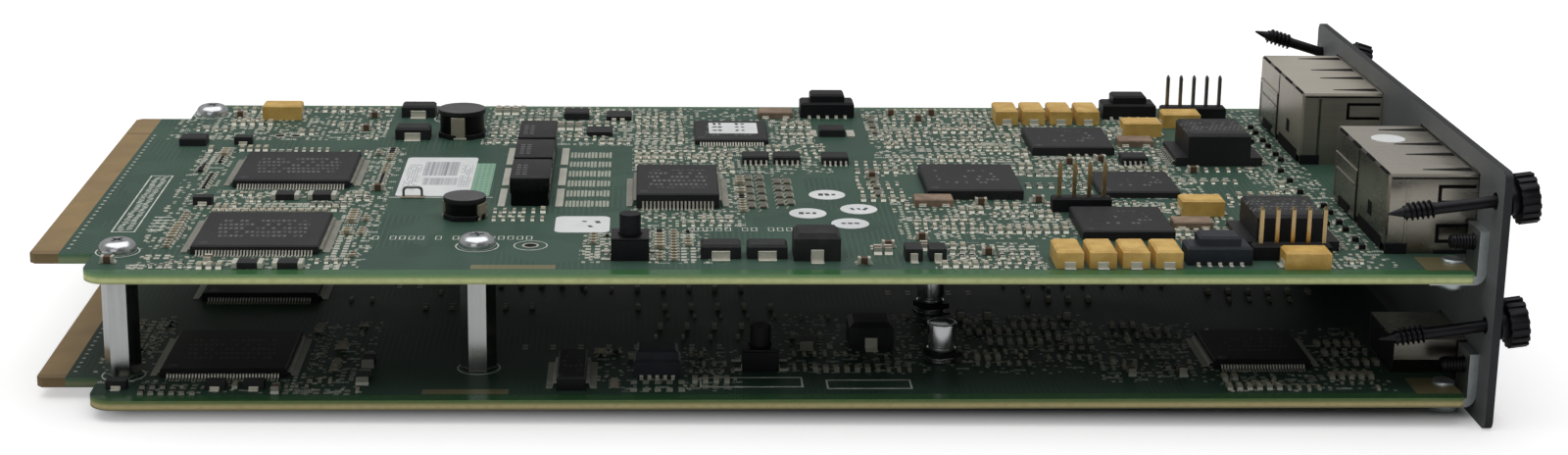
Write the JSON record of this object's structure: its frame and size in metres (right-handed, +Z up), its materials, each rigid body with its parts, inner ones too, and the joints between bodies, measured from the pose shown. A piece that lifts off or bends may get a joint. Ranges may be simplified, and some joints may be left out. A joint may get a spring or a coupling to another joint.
{
  "type": "video output card",
  "caption": "Plug-in output card of stacked circuit boards behind a front panel with shielded network jacks, video sockets, card-edge tabs and captive thumbscrews.",
  "frame": {"origin": "middle of the bottom edge of the front panel's inner face", "axes": "+X out of the panel, away from the boards; +Z up, from the lower board to the upper one; +Y along the panel"},
  "size_m": [0.24, 0.1194, 0.0424],
  "materials": {
    "panel_paint": "matt",
    "board_mask": "semi-matt",
    "zinc_plate": "plated",
    "blackened_steel": "black oxide",
    "nickel_sheet": "satin nickel",
    "black_moulding": "moulded",
    "chip_case": "moulded",
    "ochre_moulding": "moulded",
    "ceramic_cap": "fired",
    "ferrite": "fired",
    "switch_metal": "satin",
    "gilt_pin": "gold flash",
    "can_metal": "bare"
  },
  "bodies": {
    "card": {"front_panel": "panel_paint", "upper_board": "board_mask", "lower_board": "board_mask", "post_top_screws": "zinc_plate", "post_bottom_screws": "zinc_plate", "bracket_screws": "blackened_steel", "near_end_post": "zinc_plate", "near_inner_post": "zinc_plate", "upper_near_bracket": "zinc_plate", "lower_near_bracket": "zinc_plate", "near_jack_shield": "nickel_sheet", "near_jack_insert": "black_moulding", "near_socket_shell": "nickel_sheet", "near_socket_tongue": "black_moulding", "near_transformer": "chip_case", "far_end_post": "zinc_plate", "far_inner_post": "zinc_plate", "upper_far_bracket": "zinc_plate", "lower_far_bracket": "zinc_plate", "far_jack_shield": "nickel_sheet", "far_jack_insert": "black_moulding", "far_socket_shell": "nickel_sheet", "far_socket_tongue": "black_moulding", "far_transformer": "chip_case", "near_video_chip": "chip_case", "far_video_chip": "chip_case", "network_chip": "chip_case", "memory_chip": "chip_case", "processor_chip": "chip_case", "near_driver_chip": "chip_case", "far_driver_chip": "chip_case", "middle_chip": "chip_case", "lower_near_chip": "chip_case", "lower_far_chip": "chip_case", "lower_output_chip": "chip_case", "lower_wide_chip": "chip_case", "small_chips": "chip_case", "power_diodes": "chip_case", "moulded_capacitors": "ochre_moulding", "oscillators": "ceramic_cap", "moulded_chokes": "ferrite", "ferrite_beads": "ferrite", "transistors": "chip_case", "coil_blocks": "ferrite", "drum_coils": "ferrite", "near_link_socket": "black_moulding", "far_link_socket": "black_moulding", "rear_link_socket": "black_moulding", "lower_link_socket": "black_moulding", "upper_switch_body": "switch_metal", "lower_switch_body": "switch_metal", "header_bases": "black_moulding", "header_pins": "gilt_pin", "can_capacitors": "can_metal"},
    "near_upper_screw": {"near_upper_thumbscrew": "blackened_steel"},
    "near_lower_screw": {"near_lower_thumbscrew": "blackened_steel"},
    "far_upper_screw": {"far_upper_thumbscrew": "blackened_steel"},
    "far_lower_screw": {"far_lower_thumbscrew": "blackened_steel"},
    "upper_button": {"upper_switch_plunger": "black_moulding"},
    "lower_button": {"lower_switch_plunger": "black_moulding"}
  },
  "joints": [
    {"name": "near_upper_screw_turn", "type": "hinge", "parent": "card", "child": "near_upper_screw", "pos_m": [0.00065, -0.0556, 0.0369], "axis": [0.9925, 0, 0.1219], "continuous": true},
    {"name": "near_lower_screw_turn", "type": "hinge", "parent": "card", "child": "near_lower_screw", "pos_m": [0.00065, -0.0556, 0.0164], "axis": [0.9914, 0, 0.1305], "continuous": true},
    {"name": "far_upper_screw_turn", "type": "hinge", "parent": "card", "child": "far_upper_screw", "pos_m": [0.00065, 0.0556, 0.0369], "axis": [0.9563, 0, -0.2924], "continuous": true},
    {"name": "far_lower_screw_turn", "type": "hinge", "parent": "card", "child": "far_lower_screw", "pos_m": [0.00065, 0.0556, 0.0164], "axis": [0.9976, 0, 0.0698], "continuous": true},
    {"name": "upper_button_press", "type": "slide", "parent": "card", "child": "upper_button", "axis": [0, 0, -1], "range_m": [0, 0.00025], "stiffness_N_per_m": 6000, "springref_m": -0.00005},
    {"name": "lower_button_press", "type": "slide", "parent": "card", "child": "lower_button", "axis": [0, 0, -1], "range_m": [0, 0.00025], "stiffness_N_per_m": 6000, "springref_m": -0.00005}
  ]
}
